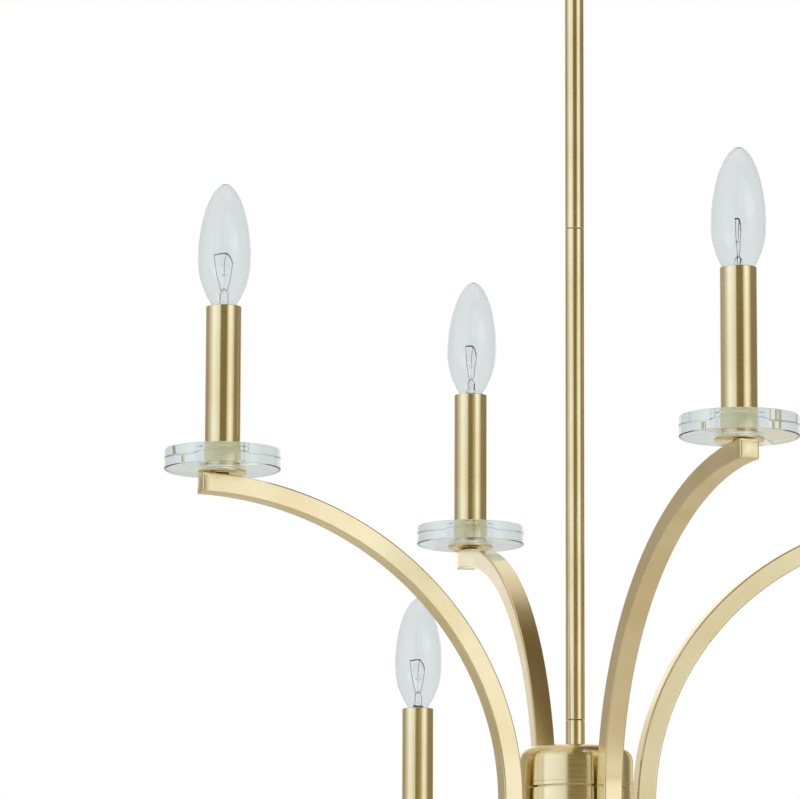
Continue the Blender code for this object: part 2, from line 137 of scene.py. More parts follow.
def threaded(name, radius, depth, pitch, low, high, steps=40, perTurn=8):
    # A screw thread: the crest climbs one pitch in each turn. Flat caps close it.
    rows = max(2, round((high - low) / pitch * perTurn))
    shape = bmesh.new()
    rings = []
    for row in range(rows + 1):
        z = low + (high - low) * row / rows
        ring = []
        for step in range(steps):
            turn = 2 * math.pi * step / steps
            wave = 0.5 - 0.5 * math.cos(2 * math.pi * z / pitch - turn)
            r = radius - depth * wave
            ring.append(shape.verts.new((r * math.cos(turn), r * math.sin(turn), z)))
        rings.append(ring)
    for lower, upper in zip(rings, rings[1:]):
        for i in range(steps):
            j = (i + 1) % steps
            shape.faces.new((lower[i], lower[j], upper[j], upper[i]))
    shape.faces.new(rings[0][::-1])
    shape.faces.new(rings[-1])
    return finishMesh(shape, name, 60)


def sweptTube(shape, points, radius, sides=8):
    # A round wire along the points, closed at both ends, added to an open bmesh.
    rings = []
    side = Vector((0, 1, 0))
    for i, point in enumerate(points):
        ahead = points[min(i + 1, len(points) - 1)] - points[max(i - 1, 0)]
        ahead.normalize()
        side = (side - ahead * side.dot(ahead)).normalized()
        other = ahead.cross(side)
        ring = []
        for k in range(sides):
            turn = 2 * math.pi * k / sides
            offset = side * math.cos(turn) + other * math.sin(turn)
            ring.append(shape.verts.new(point + offset * radius))
        rings.append(ring)
    for lower, upper in zip(rings, rings[1:]):
        for i in range(sides):
            j = (i + 1) % sides
            shape.faces.new((lower[i], lower[j], upper[j], upper[i]))
    shape.faces.new(rings[0][::-1])
    shape.faces.new(rings[-1])


def roundBar(shape, radius, low, high, axis="Z", place=None, steps=48):
    toAxis = Matrix.Rotation(math.radians(90), 4, "Y") if axis == "X" else Matrix()
    middle = Matrix.Translation((0, 0, (low + high) / 2))
    bmesh.ops.create_cone(
        shape, cap_ends=True, segments=steps, radius1=radius, radius2=radius,
        depth=high - low, matrix=(place or Matrix()) @ toAxis @ middle,
    )


def squareBar(shape, size, centre):
    bmesh.ops.create_cube(shape, size=1, matrix=Matrix.Translation(centre) @ Matrix.Diagonal((*size, 1)))


def carved(name, steps, edge):
    # Each step is (operation, bmesh). The first one is the blank. Edges are broken by a small bevel.
    helpers = []
    for operation, shape in steps:
        mesh = bpy.data.meshes.new(name)
        shape.to_mesh(mesh)
        shape.free()
        helper = bpy.data.objects.new(name + "Blank", mesh)
        bpy.context.scene.collection.objects.link(helper)
        helpers.append((operation, helper))
    blank = helpers[0][1]
    for operation, helper in helpers[1:]:
        cut = blank.modifiers.new("cut", "BOOLEAN")
        cut.operation, cut.solver, cut.object = operation, "EXACT", helper
    bevel = blank.modifiers.new("edge", "BEVEL")
    bevel.width, bevel.segments, bevel.limit_method = edge, 2, "ANGLE"
    bevel.angle_limit = math.radians(40)
    bpy.context.view_layer.update()
    graph = bpy.context.evaluated_depsgraph_get()
    mesh = bpy.data.meshes.new_from_object(blank.evaluated_get(graph))
    mesh.name = name
    mesh.shade_smooth()
    mesh.set_sharp_from_angle(angle=math.radians(32))
    for _, helper in helpers:
        bpy.data.objects.remove(helper, do_unlink=True)
    return mesh


# Material helpers

def hexColour(code):
    # sRGB hex to the linear values that the shaders work in
    channels = [int(code[i:i + 2], 16) / 255 for i in (0, 2, 4)]
    linear = [c / 12.92 if c <= 0.04045 else ((c + 0.055) / 1.055) ** 2.4 for c in channels]
    return (*linear, 1.0)


def addNode(tree, kind, settings=None, links=None):
    node = tree.nodes.new(kind)
    for key, value in (settings or {}).items():
        if key == "stops":
            while len(node.color_ramp.elements) < len(value):
                node.color_ramp.elements.new(0.5)
            for element, (position, code) in zip(node.color_ramp.elements, value):
                element.position, element.color = position, hexColour(code)
        elif isinstance(key, int) or key in node.inputs:
            node.inputs[key].default_value = value
        else:
            setattr(node, key, value)
    for key, source in (links or {}).items():
        tree.links.new(source, node.inputs[key])
    return node


def newMaterial(name):
    material = bpy.data.materials.new(name)
    material.use_nodes = True
    tree = material.node_tree
    return material, tree, tree.nodes["Principled BSDF"]


def setShader(tree, shader, values, links):
    for key, value in values.items():
        shader.inputs[key].default_value = value
    for key, source in links.items():
        tree.links.new(source, shader.inputs[key])


# Satin brass: sheet and tube brushed with a fine belt, then lacquered. Pale champagne gold that
# mirrors the room across the brush lines and blurs it along them.
satinBrass = {
    "light": "F7EBC8", "deep": "EEDEB3",
    "patch": mm(45),        # size of the faint changes of tone
    "line": mm(0.5),        # real lines are near 0.1 mm; coarser here so that they show
    "streak": mm(14),       # length of one brush line
    "roughness": (0.15, 0.24),
    "relief": 0.04,
}


def makeSatinBrass(name, along):
    # along "round": lines run round a turned piece. along "length": lines run down a bar's own length.
    material, tree, shader = newMaterial(name)
    coordinates = addNode(tree, "ShaderNodeTexCoord")
    across, down = 1 / satinBrass["line"], 1 / satinBrass["streak"]
    if along == "round":
        place, stretch = coordinates.outputs["Object"], (down, down, across)
    else:
        place, stretch = coordinates.outputs["UV"], (down, across, 1)
    lineSpace = addNode(
        tree, "ShaderNodeVectorMath", {"operation": "MULTIPLY", 1: stretch}, {0: place}
    )
    lines = addNode(
        tree, "ShaderNodeTexNoise", {"Scale": 1.0, "Detail": 3.0, "Roughness": 0.6},
        {"Vector": lineSpace.outputs[0]},
    )
    patches = addNode(
        tree, "ShaderNodeTexNoise", {"Scale": 1 / satinBrass["patch"], "Detail": 2.0},
        {"Vector": coordinates.outputs["Object"]},
    )
    low, high = satinBrass["roughness"]
    roughness = addNode(
        tree, "ShaderNodeMapRange", {"From Min": 0.3, "From Max": 0.7, "To Min": low, "To Max": high},
        {"Value": lines.outputs["Fac"]},
    )
    tone = addNode(
        tree, "ShaderNodeValToRGB",
        {"stops": [(0.32, satinBrass["deep"]), (0.68, satinBrass["light"])]},
        {"Fac": patches.outputs["Fac"]},
    )
    relief = addNode(
        tree, "ShaderNodeBump", {"Strength": satinBrass["relief"], "Distance": mm(0.05)},
        {"Height": lines.outputs["Fac"]},
    )
    setShader(
        tree, shader, {"Metallic": 1.0, "Anisotropic": 0.7, "Anisotropic Rotation": 0.25},
        {"Base Color": tone.outputs["Color"], "Roughness": roughness.outputs["Result"],
         "Normal": relief.outputs["Normal"]},
    )
    if along == "round":
        tangent = addNode(tree, "ShaderNodeTangent", {"direction_type": "RADIAL", "axis": "Z"})
    else:
        tangent = addNode(tree, "ShaderNodeTangent", {"direction_type": "UV_MAP", "uv_map": "brush"})
    tree.links.new(tangent.outputs["Tangent"], shader.inputs["Tangent"])
    return material


# Crystal glass: cast discs, ground and fire polished. Clear, a trace of green in the depth.
crystalGlass = {"tint": "EFF5F4", "ior": 1.52, "polish": mm(9), "roughness": (0.0, 0.02), "relief": 0.02}

# Soda lime glass: bulb envelopes, blown. Clear, with a slow waviness from the mould.
blownGlass = {"tint": "F7F8F8", "ior": 1.5, "polish": mm(7), "roughness": (0.0, 0.015), "relief": 0.12}


def makeGlass(name, finish):
    material, tree, shader = newMaterial(name)
    coordinates = addNode(tree, "ShaderNodeTexCoord")
    waves = addNode(
        tree, "ShaderNodeTexNoise", {"Scale": 1 / finish["polish"], "Detail": 2.0},
        {"Vector": coordinates.outputs["Object"]},
    )
    low, high = finish["roughness"]
    roughness = addNode(
        tree, "ShaderNodeMapRange", {"From Min": 0.3, "From Max": 0.7, "To Min": low, "To Max": high},
        {"Value": waves.outputs["Fac"]},
    )
    relief = addNode(
        tree, "ShaderNodeBump", {"Strength": finish["relief"], "Distance": mm(0.2)},
        {"Height": waves.outputs["Fac"]},
    )
    setShader(
        tree, shader,
        {"Base Color": hexColour(finish["tint"]), "Transmission Weight": 1.0, "IOR": finish["ior"]},
        {"Roughness": roughness.outputs["Result"], "Normal": relief.outputs["Normal"]},
    )
    return material


# Plain finishes of the small parts: colours of the two tones, grain size, metallic, roughness range, relief
plainFinishes = {
    # Zinc plated steel: pressed strip, bright passivated. Cool grey with a soft spangle.
    "zincPlatedSteel": ("B9BBBC", "9EA1A4", mm(1.6), 1.0, (0.28, 0.45), 0.10),
    # Nickel plated brass: rolled lamp shell. Pale warm silver.
    "nickelPlatedShell": ("D8D2C6", "BDB6A8", mm(2.5), 1.0, (0.18, 0.32), 0.06),
    # Phenolic resin: compression moulded. Near black with a dull skin.
    "mouldedPhenolic": ("1B1A19", "262422", mm(0.9), 0.0, (0.42, 0.60), 0.15),
    # Tungsten and its leads: drawn wire. Dark grey, lightly oxidised.
    "drawnTungsten": ("6A6865", "4B4A49", mm(0.6), 1.0, (0.30, 0.50), 0.05),
    # Tin solder: melted bead on the lamp's foot.
    "tinSolder": ("C4C6C8", "A3A6A9", mm(0.8), 1.0, (0.22, 0.40), 0.20),
    # Vitrite: pressed black lamp glass.
    "pressedVitrite": ("14161A", "1E2126", mm(1.2), 0.0, (0.12, 0.22), 0.05),
    # Emulsion paint: rolled on a studio floor, very fine stipple.
    "rolledEmulsion": ("F4F2EC", "EFEDE6", mm(220), 0.0, (0.34, 0.44), 0.0),
}


def makePlain(name):
    light, deep, grain, metallic, (low, high), relief = plainFinishes[name]
    material, tree, shader = newMaterial(name)
    coordinates = addNode(tree, "ShaderNodeTexCoord")
    specks = addNode(
        tree, "ShaderNodeTexNoise", {"Scale": 1 / grain, "Detail": 4.0, "Roughness": 0.6},
        {"Vector": coordinates.outputs["Object"]},
    )
    tone = addNode(
        tree, "ShaderNodeValToRGB", {"stops": [(0.35, deep), (0.65, light)]},
        {"Fac": specks.outputs["Fac"]},
    )
    roughness = addNode(
        tree, "ShaderNodeMapRange", {"From Min": 0.3, "From Max": 0.7, "To Min": low, "To Max": high},
        {"Value": specks.outputs["Fac"]},
    )
    links = {"Base Color": tone.outputs["Color"], "Roughness": roughness.outputs["Result"]}
    if relief:
        bump = addNode(
            tree, "ShaderNodeBump", {"Strength": relief, "Distance": mm(0.05)},
            {"Height": specks.outputs["Fac"]},
        )
        links["Normal"] = bump.outputs["Normal"]
    setShader(tree, shader, {"Metallic": metallic}, links)
    return material


brassTurned = makeSatinBrass("satinBrassBrushedRound", "round")
brassDrawn = makeSatinBrass("satinBrassBrushedLengthwise", "length")
discGlass = makeGlass("crystalGlassPolished", crystalGlass)
bulbGlass = makeGlass("sodaLimeGlassBlown", blownGlass)
plain = {name: makePlain(name) for name in plainFinishes}
print("materials made")


# Ceiling fitting

ceilingFitting = {
    "wall": mm(1.2), "edge": mm(6), "bore": mm(5.15), "rimBead": mm(0.5),
    "slotLength": mm(16), "slotWidth": mm(4.6), "slotSpread": mm(70),
    "threadRadius": mm(4.85), "threadPitch": mm(1.27), "threadDepth": mm(0.45),
    "nutAcross": mm(8.2), "nutHeight": mm(4), "nutGap": mm(0.2), "nutEdge": mm(0.4), "barEdge": mm(0.5),
    "groove": mm(0.5), "grooveEdge": mm(0.2), "collarTopEdge": mm(0.4), "collarFootEdge": mm(2.2),
    "boreReach": mm(20),
}


def buildCanopy():
    low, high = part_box("canopy")
    radius, wall, bore = high.x, ceilingFitting["wall"], ceilingFitting["bore"]
    edge, bead = ceilingFitting["edge"], ceilingFitting["rimBead"]
    outline = softened([
        (bore, low.z, 0), (radius, low.z, edge), (radius, high.z, bead), (radius - wall, high.z, bead),
        (radius - wall, low.z + wall, edge - wall), (bore, low.z + wall, 0),
    ], steps=10)
    addPiece("canopyShell", lathe("canopyShell", outline, 128), brassTurned, "ceiling_fitting",
             stands=["canopy"])


def buildCollar():
    low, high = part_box("canopy_collar")
    radius, bore = high.x, ceilingFitting["bore"]
    middle = (low.z + high.z) / 2
    groove, soft = ceilingFitting["groove"], ceilingFitting["grooveEdge"]
    outline = softened([
        (bore, high.z, 0), (radius, high.z, ceilingFitting["collarTopEdge"]),
        (radius, middle + groove, soft), (radius - groove, middle, soft), (radius, middle - groove, soft),
        (radius, low.z, ceilingFitting["collarFootEdge"]), (bore, low.z, 0),
    ])
    addPiece("canopyCollar", lathe("canopyCollar", outline, 96), brassTurned, "ceiling_fitting",
             stands=["canopy_collar"])


def buildCrossbar():
    low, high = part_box("ceiling_crossbar")
    middle, size = (low + high) / 2, high - low
    bar, holes = bmesh.new(), bmesh.new()
    squareBar(bar, size, middle)
    roundBar(holes, ceilingFitting["bore"], -2 * size.z, 2 * size.z)
    straight = ceilingFitting["slotLength"] - ceilingFitting["slotWidth"]
    for side in (-1, 1):
        x = side * ceilingFitting["slotSpread"] / 2
        squareBar(holes, (straight, ceilingFitting["slotWidth"], 4 * size.z), (x, 0, 0))
    mesh = carved("crossbar", [("", bar), ("DIFFERENCE", holes)], ceilingFitting["barEdge"])
    addPiece("crossbar", mesh, plain["zincPlatedSteel"], "ceiling_fitting",
             stands=["ceiling_crossbar"])
    nutTop, reach = low.z - ceilingFitting["nutGap"], ceilingFitting["boreReach"]
    nut, nutBore = bmesh.new(), bmesh.new()
    roundBar(nut, ceilingFitting["nutAcross"], nutTop - ceilingFitting["nutHeight"], nutTop, steps=6)
    roundBar(nutBore, ceilingFitting["bore"], nutTop - reach, nutTop + reach)
    mesh = carved("lockNut", [("", nut), ("DIFFERENCE", nutBore)], ceilingFitting["nutEdge"])
    addPiece("lockNut", mesh, plain["zincPlatedSteel"], "ceiling_fitting")


# Swivel

swivel = {
    "pinDrop": mm(17), "pinRadius": mm(2.5), "earRadius": mm(9), "earSpan": mm(16),
    "tongue": mm(6), "tongueRadius": mm(8), "gap": mm(0.3), "bodyRadius": mm(10),
    "shankRadius": mm(7), "shankLength": mm(20), "pinHead": mm(3.6), "headThick": mm(0.8),
    "headEdge": mm(0.5), "yokeEdge": mm(0.5), "knuckleEdge": mm(0.4), "overlap": mm(1), "block": mm(50),
    "boreReach": mm(20),
}


def buildSwivel():
    yokeLow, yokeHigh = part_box("swivel_yoke")
    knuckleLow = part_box("swivel_knuckle")[0]
    pinLevel = yokeLow.z + swivel["earRadius"]
    bodyTop = pinLevel + swivel["pinDrop"]
    atPin = Matrix.Translation((0, 0, pinLevel))
    half, slotHalf = swivel["earSpan"] / 2, swivel["tongue"] / 2 + swivel["gap"]
    slotTop = pinLevel + swivel["tongueRadius"] + 5 * swivel["gap"]

    blank, ears, slot = bmesh.new(), bmesh.new(), bmesh.new()
    roundBar(blank, swivel["bodyRadius"], pinLevel, bodyTop, steps=64)
    roundBar(ears, swivel["earRadius"], -half, half, "X", atPin, 64)
    block = swivel["block"]
    squareBar(slot, (2 * slotHalf, block, block), (0, 0, slotTop - block / 2))
    steps = [("", blank), ("UNION", ears), ("DIFFERENCE", slot)]
    mesh = carved("swivelYoke", steps, swivel["yokeEdge"])
    addPiece("swivelYoke", mesh, brassTurned, "swivel_yoke", stands=["swivel_yoke"])

    head, inner, thin = swivel["pinHead"], half - swivel["headThick"], swivel["pinRadius"]
    pin = softened([
        (0, -half, 0), (head, -half, swivel["headEdge"]), (head, -inner, 0), (thin, -inner, 0),
        (thin, inner, 0), (head, inner, 0), (head, half, swivel["headEdge"]), (0, half, 0),
    ])
    toX = Matrix.Rotation(math.radians(90), 4, "Y")
    addPiece("swivelPin", lathe("swivelPin", pin, 48, closed=False), plain["nickelPlatedShell"],
             "swivel_yoke", atPin @ toX)
    stem = threaded("swivelStem", ceilingFitting["threadRadius"], ceilingFitting["threadDepth"],
                    ceilingFitting["threadPitch"], bodyTop - swivel["overlap"], yokeHigh.z)
    addPiece("swivelStem", stem, plain["zincPlatedSteel"], "swivel_yoke")

    shank, eye, neck, hole = bmesh.new(), bmesh.new(), bmesh.new(), bmesh.new()
    shoulder, reach = knuckleLow.z + swivel["shankLength"], swivel["boreReach"]
    neckFoot, tongueHalf = shoulder - 2 * swivel["overlap"], swivel["tongue"] / 2
    roundBar(shank, swivel["shankRadius"], knuckleLow.z, shoulder, steps=64)
    roundBar(eye, swivel["tongueRadius"], -tongueHalf, tongueHalf, "X", atPin, 64)
    squareBar(neck, (2 * tongueHalf, 1.5 * swivel["tongueRadius"], pinLevel - neckFoot),
              (0, 0, (pinLevel + neckFoot) / 2))
    roundBar(hole, swivel["pinRadius"] + swivel["gap"], -reach, reach, "X", atPin)
    steps = [("", shank), ("UNION", eye), ("UNION", neck), ("DIFFERENCE", hole)]
    mesh = carved("swivelKnuckle", steps, swivel["knuckleEdge"])
    addPiece("swivelKnuckle", mesh, brassTurned, "fixture", stands=["swivel_knuckle"])


# Stem

stem = {
    "radius": mm(6), "chamfer": mm(0.45), "stud": mm(4.7), "studLength": mm(12), "pitch": mm(1.27),
    "threadDepth": mm(0.4), "overlap": mm(0.5),
}


def buildStud(name, foot, top):
    stud = threaded(name, stem["stud"], stem["threadDepth"], stem["pitch"], foot - stem["overlap"], top)
    addPiece(name, stud, plain["zincPlatedSteel"], "fixture")


def buildRod(name, node):
    low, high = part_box(node)
    top = high.z - stem["studLength"]
    outline = softened([
        (0, top, 0), (stem["radius"], top, stem["chamfer"]),
        (stem["radius"], low.z, stem["chamfer"]), (0, low.z, 0),
    ], steps=3)
    addPiece(name, lathe(name, outline, 64, closed=False), brassTurned, "fixture",
             stands=[node])
    buildStud(name + "Stud", top, high.z)


# Hubs, column and finial

hub = {
    "radius": mm(35), "edge": mm(9), "wall": mm(2), "floor": mm(3), "capHeight": mm(25),
    "height": mm(85), "seam": mm(1), "seamEdge": mm(0.35), "columnHole": mm(8.3),
    "footEdge": mm(1.2), "lip": mm(0.15), "lipRise": mm(2.6), "neckFoot": mm(0.25),
    "capHollow": mm(9), "hollowEdge": mm(2), "gap": mm(0.3), "spigotWall": mm(2.2), "spigotHeight": mm(9),
    "web": mm(3), "lowerWall": mm(2.4), "groove": mm(1.2), "finialHole": mm(5),
}


def hubTopOf(node):
    # A hub's flat top. The upper cap's own box also holds the neck over it.
    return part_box(node)[0].z + (hub["capHeight"] if node == "upper_hub_cap" else hub["height"])


def buildUpperHub():
    top = hubTopOf("upper_hub_cap")
    capLow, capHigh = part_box("upper_hub_cap")
    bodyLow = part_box("upper_hub_body")[0]
    radius, neck = hub["radius"], stem["radius"]
    neckTop = capHigh.z - stem["studLength"]
    crease, lip = hub["lip"], capLow.z + hub["lipRise"]
    inside, hollow = radius - hub["wall"], top - hub["capHollow"]
    outline = softened([
        (0, neckTop, 0), (neck, neckTop, stem["chamfer"]), (neck, top, hub["neckFoot"]),
        (radius, top, hub["edge"]), (radius, lip + crease, 0), (radius - crease, lip, 0),
        (radius, lip - crease, 0), (radius, capLow.z, hub["seamEdge"]),
        (inside, capLow.z, 0), (inside, hollow, hub["hollowEdge"]), (0, hollow, 0),
    ], steps=10)
    addPiece("upperHubCap", lathe("upperHubCap", outline, 160, closed=False), brassTurned, "fixture",
             stands=["upper_hub_cap"])
    buildStud("neckStud", neckTop, capHigh.z)
    shoulder = capLow.z - hub["seam"]
    spigot, web = inside - hub["gap"], shoulder - hub["web"]
    bore, spigotTop = spigot - hub["spigotWall"], shoulder + hub["spigotHeight"]
    outline = softened([
        (bore, spigotTop, 0), (spigot, spigotTop, 0), (spigot, shoulder, 0),
        (radius, shoulder, hub["seamEdge"]),
        (radius, bodyLow.z, hub["footEdge"]), (hub["columnHole"], bodyLow.z, 0),
        (hub["columnHole"], bodyLow.z + hub["floor"], 0), (inside, bodyLow.z + hub["floor"], 0),
        (inside, web, 0), (bore, web, 0),
    ], steps=4)
    addPiece("upperHubBody", lathe("upperHubBody", outline, 160), brassTurned, "fixture",
             stands=["upper_hub_body"])


def buildLowerHub():
    top = hubTopOf("lower_hub")
    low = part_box("lower_hub")[0]
    radius, seam = hub["radius"], top - hub["capHeight"]
    groove, inside, foot = radius - hub["groove"], radius - hub["lowerWall"], hub["finialHole"]
    outline = softened([
        (hub["columnHole"], top, 0), (radius, top, hub["edge"]), (radius, seam, hub["seamEdge"]),
        (groove, seam, 0), (groove, seam - hub["seam"], 0), (radius, seam - hub["seam"], hub["seamEdge"]),
        (radius, low.z, hub["footEdge"]), (foot, low.z, 0), (foot, low.z + hub["floor"], 0),
        (inside, low.z + hub["floor"], 0), (inside, top - hub["lowerWall"], hub["edge"]),
        (hub["columnHole"], top - hub["lowerWall"], 0),
    ], steps=8)
    addPiece("lowerHub", lathe("lowerHub", outline, 160), brassTurned, "fixture",
             stands=["lower_hub"])


column = {"spigot": mm(8), "bore": mm(6.5), "spigotHeight": mm(9), "edge": mm(0.5), "spigotEdge": mm(0.4)}


def buildColumn():
    low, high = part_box("centre_column")
    radius, spigot, bore = high.x, column["spigot"], column["bore"]
    edge, spigotEdge = column["edge"], column["spigotEdge"]
    top, foot = high.z - column["spigotHeight"], low.z + column["spigotHeight"]
    outline = softened([
        (bore, high.z, 0), (spigot, high.z, spigotEdge), (spigot, top, 0), (radius, top, edge),
        (radius, foot, edge), (spigot, foot, 0), (spigot, low.z, spigotEdge), (bore, low.z, 0),
    ])
    addPiece("centreColumn", lathe("centreColumn", outline, 96), brassTurned, "fixture",
             stands=["centre_column"])


finial = {
    "stud": mm(4.7), "studLength": mm(9), "studEdge": mm(0.4), "ball": mm(10), "ballSteps": 20,
    "neck": mm(5), "neckDrop": mm(8), "neckCurve": mm(3), "flangeEdge": mm(0.5), "flangeThick": mm(3),
    "flangeCurve": mm(1.6), "bead": mm(7), "beadDrop": mm(3.6), "beadCurve": mm(1),
}


def buildFinial():
    low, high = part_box("bottom_finial")
    flange, ballRadius, neck = high.z - finial["studLength"], finial["ball"], finial["neck"]
    middle = low.z + ballRadius
    start = math.asin(neck / ballRadius)
    turns = [start + (math.pi - start) * i / finial["ballSteps"] for i in range(finial["ballSteps"])]
    ball = [(ballRadius * math.sin(turn), middle + ballRadius * math.cos(turn), 0) for turn in turns]
    outline = softened([
        (0, high.z, 0), (finial["stud"], high.z, finial["studEdge"]), (finial["stud"], flange, 0),
        (high.x, flange, finial["flangeEdge"]),
        (high.x, flange - finial["flangeThick"], finial["flangeCurve"]),
        (finial["bead"], flange - finial["beadDrop"], finial["beadCurve"]),
        (neck, flange - finial["neckDrop"], finial["neckCurve"]), *ball, (0, low.z, 0),
    ])
    addPiece("bottomFinial", lathe("bottomFinial", outline, 96, closed=False), brassTurned, "fixture",
             stands=["bottom_finial"])


# Arms: square tube bent to a quarter of an ellipse, drawn along +X with the hub's top at height 0

arm = {
    "side": mm(12), "corner": mm(1.0), "standOff": mm(3.5), "rise": mm(182.4), "foot": mm(42),
    "endHeight": mm(148.6), "stubRadius": mm(5), "stubDrop": mm(40), "stubDepth": mm(6),
    "stubEdge": mm(0.4), "leastCorner": mm(0.2), "cornerShrink": 0.6, "footSteps": 6, "endRings": 3,
    "bendSteps": 64, "cornerSteps": 4, "reach": {"upper": mm(200), "lower": mm(386)},
}
# Bearing of each arm's foot from the front, and how far the arm is set off the radial about its foot
armSettings = {
    "upper_front": (27.6, -3.9), "upper_right": (110.3, -3.4), "upper_back": (205.2, -9.5),
    "upper_left": (298.2, -5.3), "lower_front": (27.6, -3.9), "lower_right": (110.3, -3.4),
    "lower_back": (203.0, -8.7), "lower_left": (298.2, -5.3),
}
armStart = hub["radius"] + arm["standOff"] + arm["side"] / 2


def armLine(reach):
    # (x, z, heading) down the middle of the bar
    base = arm["endHeight"] - arm["rise"]
    steps = arm["footSteps"]
    points = [(0, base - arm["foot"] * (1 - i / steps), math.pi / 2) for i in range(steps)]
    for i in range(arm["bendSteps"] + 1):
        turn = math.pi / 2 * i / arm["bendSteps"]
        x = reach * (1 - math.cos(turn))
        z = base + arm["rise"] * math.sin(turn)
        points.append((x, z, math.atan2(arm["rise"] * math.cos(turn), reach * math.sin(turn))))
    return points


def squareSection(side, corner):
    half = side / 2
    corners = [(half, half), (-half, half), (-half, -half), (half, -half)]
    rounded = softened([(x, y, corner) for x, y in corners], arm["cornerSteps"], closed=True)
    return braced(rounded, True)


def armMesh(name, reach):
    line = armLine(reach)
    corner, shape = arm["corner"], bmesh.new()
    brush = shape.loops.layers.uv.new("brush")
    first, last = line[0], line[-1]
    # Both ends draw in over a few rings, which rounds their edges.
    turns = [math.pi / 2 * k / arm["endRings"] for k in range(arm["endRings"] + 1)]
    drawn = [(corner * (1 - math.cos(turn)), corner * (1 - math.sin(turn))) for turn in turns]
    stations = [(first, shift, shrink, 1) for shift, shrink in drawn]
    stations += [(point, 0, 0, 1) for point in line[1:-1]]
    stations += [(last, shift, shrink, -1) for shift, shrink in reversed(drawn)]
    rings, travel, gone, before = [], [], 0.0, None
    for (x, z, heading), shift, shrink, way in stations:
        ahead = Vector((math.cos(heading), 0, math.sin(heading)))
        across = Vector((-math.sin(heading), 0, math.cos(heading)))
        middle = Vector((x, 0, z)) + ahead * shift * way
        gone += (middle - before).length if before else 0.0
        before = middle
        sectionCorner = max(corner - shrink * arm["cornerShrink"], arm["leastCorner"])
        section = squareSection(arm["side"] - 2 * shrink, sectionCorner)
        rings.append([shape.verts.new(middle + across * u + Vector((0, v, 0))) for u, v in section])
        travel.append(gone)
    count = len(rings[0])
    outline = squareSection(arm["side"], corner)
    girth = [0.0]
    for i in range(count):
        girth.append(girth[-1] + (Vector(outline[(i + 1) % count]) - Vector(outline[i])).length)
    for r in range(len(rings) - 1):
        for i in range(count):
            j = (i + 1) % count
            face = shape.faces.new((rings[r][i], rings[r][j], rings[r + 1][j], rings[r + 1][i]))
            spots = [(travel[r], girth[i]), (travel[r], girth[i + 1]),
                     (travel[r + 1], girth[i + 1]), (travel[r + 1], girth[i])]
            for loop, spot in zip(face.loops, spots):
                loop[brush].uv = spot
    for ring in (rings[0][::-1], rings[-1]):
        cap = shape.faces.new(ring)
        for loop in cap.loops:
            place = loop.vert.co
            loop[brush].uv = (place.y, place.z + place.x)
    return finishMesh(shape, name, 40)


def armPlace(light, hubTop):
    # Takes an arm's own frame, with its foot's middle line on Z and +X outward, to its place
    foot, offRadial = armSettings[light]
    toFoot = Matrix.Rotation(math.radians(foot - 90), 4, "Z")
    turn = Matrix.Rotation(math.radians(offRadial), 4, "Z")
    return Matrix.Translation((0, 0, hubTop)) @ toFoot @ Matrix.Translation((armStart, 0, 0)) @ turn


def stubMesh():
    reach = hub["radius"] - arm["stubDepth"] - armStart
    outline = softened([
        (0, reach, 0), (arm["stubRadius"], reach, arm["stubEdge"]), (arm["stubRadius"], 0, 0), (0, 0, 0),
    ])
    mesh = lathe("armStub", outline, 48, closed=False)
    mesh.transform(Matrix.Rotation(math.radians(90), 4, "Y"))
    return mesh


# Candle lights, drawn round their own axis with the sleeve's rim at height 0

candle = {
    "cup": mm(14.75), "cupThick": mm(1.6), "cupEdge": mm(0.5), "cupNeck": mm(8), "cupNeckHeight": mm(0.3),
    "nippleBore": mm(4.3), "disc": mm(35), "discThick": mm(12), "discEdge": mm(0.5), "discHole": mm(11.4),
    "cupNeckEdge": mm(0.2), "discFacet": mm(0.12), "discHoleEdge": mm(0.4),
    "sleeve": mm(11), "sleeveWall": mm(0.8), "sleeveRim": mm(0.35),
    "nipple": mm(4), "nipplePitch": mm(1), "nippleThread": mm(0.35), "nippleOverlap": mm(0.5),
}


def cupMesh(low):
    high, foot = low + candle["cupThick"], low - candle["cupNeckHeight"]
    radius, edge, neck, bore = candle["cup"], candle["cupEdge"], candle["cupNeck"], candle["nippleBore"]
    return lathe("cup", softened([
        (bore, high, 0), (radius, high, edge), (radius, low, edge),
        (neck, low, candle["cupNeckEdge"]), (neck, foot, 0), (bore, foot, 0),
    ], 6), 96)


def discMesh(low):
    # A flat polished bevel, with the least rounding where it meets the faces
    high, radius, hole = low + candle["discThick"], candle["disc"], candle["discHole"]
    edge, soft, inner = candle["discEdge"], candle["discFacet"], candle["discHoleEdge"]
    return lathe("disc", softened([
        (hole, high, inner), (radius - edge, high, soft), (radius, high - edge, soft),
        (radius, low + edge, soft), (radius - edge, low, soft), (hole, low, inner),
    ], 3, closed=True), 160, sharp=20)


def sleeveMesh(low):
    radius, rim = candle["sleeve"], candle["sleeveRim"]
    inside = radius - candle["sleeveWall"]
    return lathe("sleeve", softened([
        (inside, 0, rim), (radius, 0, rim), (radius, low, rim), (inside, low, 0),
    ], 4, closed=True), 96)


socket = {
    "radius": mm(9.6), "height": mm(33), "drop": mm(5), "bore": mm(6.8), "boreEdge": mm(0.4),
    "depth": mm(24), "rimEdge": mm(0.6), "collar": mm(6), "step": mm(0.5), "footEdge": mm(1.2),
    "wireHole": mm(3), "shell": mm(0.3), "shellGap": mm(0.05), "shellDrop": mm(1), "shellRise": mm(6),
}


